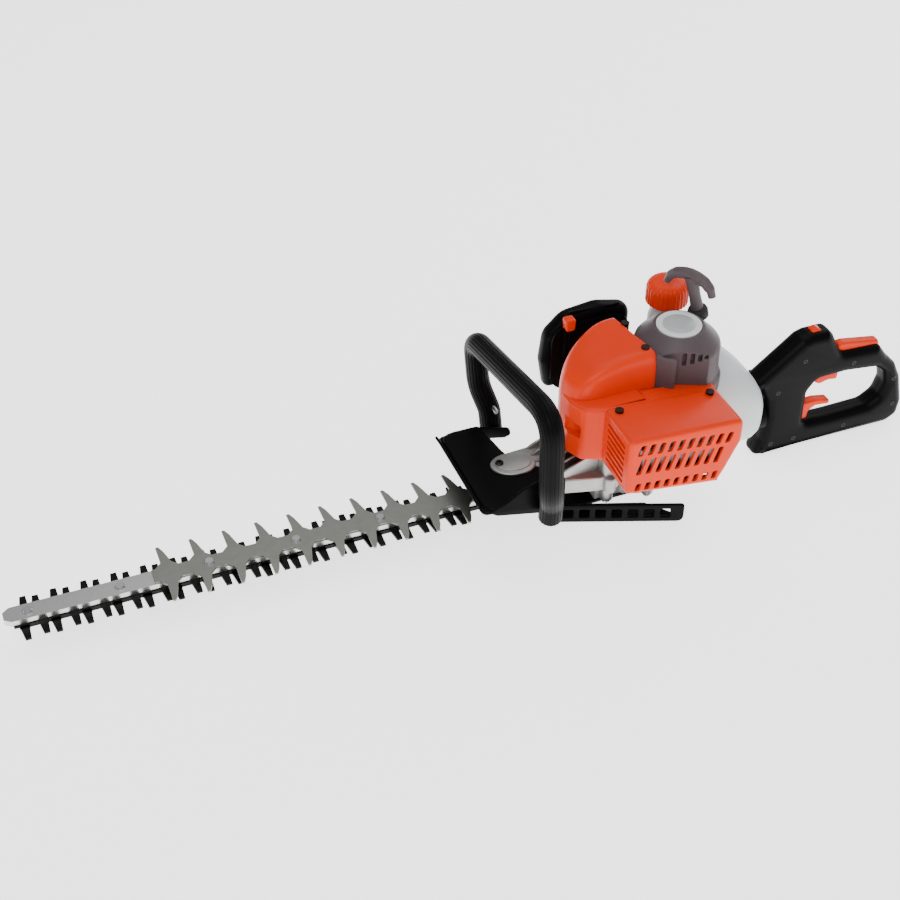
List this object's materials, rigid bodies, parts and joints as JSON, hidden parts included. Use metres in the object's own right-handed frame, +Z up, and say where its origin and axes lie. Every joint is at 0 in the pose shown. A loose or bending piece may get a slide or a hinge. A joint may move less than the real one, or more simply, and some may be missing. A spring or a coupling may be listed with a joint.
{
  "type": "hedge trimmer",
  "caption": "Petrol hedge trimmer with a double-sided toothed blade, looped front handle and swivelling rear grip.",
  "frame": {"origin": "on the ground plane under the middle of the machine's overall length and width", "axes": "+X from the blade's tip towards the rear handle, +Y to the carburettor side, +Z up"},
  "size_m": [1.034, 0.22, 0.253],
  "materials": {
    "cast_alloy": "cast, satin",
    "black_plastic": "moulded, satin",
    "bar_steel": "ground",
    "plate_alloy": "satin",
    "blade_steel": "blackened, ground edges",
    "zinc_steel": "zinc plated",
    "machined_steel": "machined",
    "flywheel_alloy": "cast",
    "rubber": "moulded",
    "orange_plastic": "moulded, satin gloss",
    "grey_plastic": "moulded, fine texture",
    "badge": "printed disc, blank",
    "filter_foam": "foam",
    "tank_plastic": "translucent white",
    "bulb": "clear red"
  },
  "bodies": {
    "frame": {"gear_case": "cast_alloy", "gear_case_cover": "cast_alloy", "case_screws": "zinc_steel", "front_guard": "black_plastic", "front_handle": "black_plastic", "handle_bolts": "zinc_steel", "guide_bar": "bar_steel", "spike_plate": "plate_alloy", "blade_bolts": "zinc_steel", "blade_nuts": "zinc_steel", "gear_shaft": "zinc_steel", "drum_bearing": "machined_steel", "skid_plate": "black_plastic", "skid_screws": "zinc_steel", "crankcase_lower": "cast_alloy", "crankcase_upper": "cast_alloy", "crank_bearings": "machined_steel", "cylinder": "cast_alloy", "spark_plug": "zinc_steel", "plug_cap": "rubber", "ignition_coil": "black_plastic", "ht_lead": "rubber", "muffler": "machined_steel", "muffler_cover": "orange_plastic", "engine_cover": "orange_plastic", "starter_housing": "grey_plastic", "starter_badge": "badge", "recoil_spring": "machined_steel", "insulator": "black_plastic", "carburettor": "cast_alloy", "filter_base": "black_plastic", "filter_element": "filter_foam", "air_filter_cover": "black_plastic", "fuel_tank": "tank_plastic", "fuel_line": "rubber", "swivel_flange": "cast_alloy", "vibration_mounts": "rubber", "cover_screws": "zinc_steel", "starter_screws": "zinc_steel"},
    "upper_blade": {"upper_blade": "blade_steel"},
    "lower_blade": {"lower_blade": "blade_steel"},
    "drive_gear": {"drive_gear": "machined_steel"},
    "clutch_drum": {"clutch_drum": "machined_steel"},
    "crank": {"crankshaft": "machined_steel", "flywheel": "flywheel_alloy", "clutch_shoes": "machined_steel"},
    "piston": {"piston": "machined_steel"},
    "starter_pulley": {"starter_pulley": "grey_plastic"},
    "starter_grip": {"starter_grip": "grey_plastic"},
    "fuel_cap": {"fuel_cap": "orange_plastic"},
    "choke_lever": {"choke_lever": "orange_plastic"},
    "primer_bulb": {"primer_bulb": "bulb"},
    "rear_handle": {"handle_left_shell": "black_plastic", "handle_right_shell": "black_plastic", "handle_screws": "zinc_steel", "pivot_pins": "zinc_steel"},
    "throttle_trigger": {"throttle_trigger": "orange_plastic"},
    "lockout_lever": {"lockout_lever": "orange_plastic"},
    "ignition_switch": {"ignition_switch": "orange_plastic"},
    "swivel_lock": {"swivel_lock": "orange_plastic"}
  },
  "joints": [
    {"name": "blade_stroke", "type": "slide", "parent": "frame", "child": "upper_blade", "axis": [1, 0, 0], "range_m": [0, 0.012]},
    {"name": "lower_blade_stroke", "type": "slide", "parent": "frame", "child": "lower_blade", "axis": [1, 0, 0], "range_m": [-0.012, 0]},
    {"name": "drive_gear_turn", "type": "hinge", "parent": "frame", "child": "drive_gear", "pos_m": [0.166, 0, 0.05], "axis": [0, 0, 1], "range_deg": [0, 180]},
    {"name": "clutch_drum_turn", "type": "hinge", "parent": "frame", "child": "clutch_drum", "pos_m": [0.211, 0, 0.06], "axis": [0, 0, 1], "range_deg": [-651, 0]},
    {"name": "crank_spin", "type": "hinge", "parent": "frame", "child": "crank", "pos_m": [0.211, 0, 0.1], "axis": [0, 0, 1], "continuous": true},
    {"name": "piston_stroke", "type": "slide", "parent": "frame", "child": "piston", "axis": [-1, 0, 0], "range_m": [0, 0.024]},
    {"name": "starter_pull", "type": "slide", "parent": "frame", "child": "starter_grip", "axis": [-0.225, 0, 0.9744], "range_m": [0, 0.6]},
    {"name": "starter_pulley_turn", "type": "hinge", "parent": "frame", "child": "starter_pulley", "pos_m": [0.211, 0, 0.185], "axis": [0, 0, 1], "range_deg": [0, 1495]},
    {"name": "fuel_cap_turn", "type": "hinge", "parent": "frame", "child": "fuel_cap", "pos_m": [0.232, 0.067, 0.2], "axis": [0, 0, 1], "range_deg": [0, 270]},
    {"name": "choke_turn", "type": "hinge", "parent": "frame", "child": "choke_lever", "pos_m": [0.12, 0.078, 0.142], "axis": [0, 1, 0], "range_deg": [0, 55]},
    {"name": "primer_press", "type": "slide", "parent": "frame", "child": "primer_bulb", "axis": [0, 0, 1], "range_m": [0, 0.004], "stiffness_N_per_m": 300},
    {"name": "handle_swivel", "type": "hinge", "parent": "frame", "child": "rear_handle", "pos_m": [0.33, 0, 0.055], "axis": [1, 0, 0], "range_deg": [-90, 90]},
    {"name": "trigger_squeeze", "type": "hinge", "parent": "rear_handle", "child": "throttle_trigger", "pos_m": [0.398, 0, 0.103], "axis": [0, -1, 0], "range_deg": [0, 12], "stiffness_Nm_per_rad": 0.4},
    {"name": "lockout_press", "type": "hinge", "parent": "rear_handle", "child": "lockout_lever", "pos_m": [0.464, 0, 0.097], "axis": [0, -1, 0], "range_deg": [0, 5], "stiffness_Nm_per_rad": 0.5},
    {"name": "switch_slide", "type": "slide", "parent": "rear_handle", "child": "ignition_switch", "axis": [1, 0, 0], "range_m": [0, 0.004]},
    {"name": "swivel_release", "type": "slide", "parent": "rear_handle", "child": "swivel_lock", "axis": [-1, 0, 0], "range_m": [0, 0.005], "stiffness_N_per_m": 400}
  ],
  "couplings": [
    {"joint": "lower_blade_stroke", "follows": "blade_stroke", "ratio": -1},
    {"joint": "drive_gear_turn", "follows": "blade_stroke", "rad_per_m": 261.8},
    {"joint": "clutch_drum_turn", "follows": "blade_stroke", "rad_per_m": -946.51},
    {"joint": "starter_pulley_turn", "follows": "starter_pull", "rad_per_m": 43.4}
  ]
}
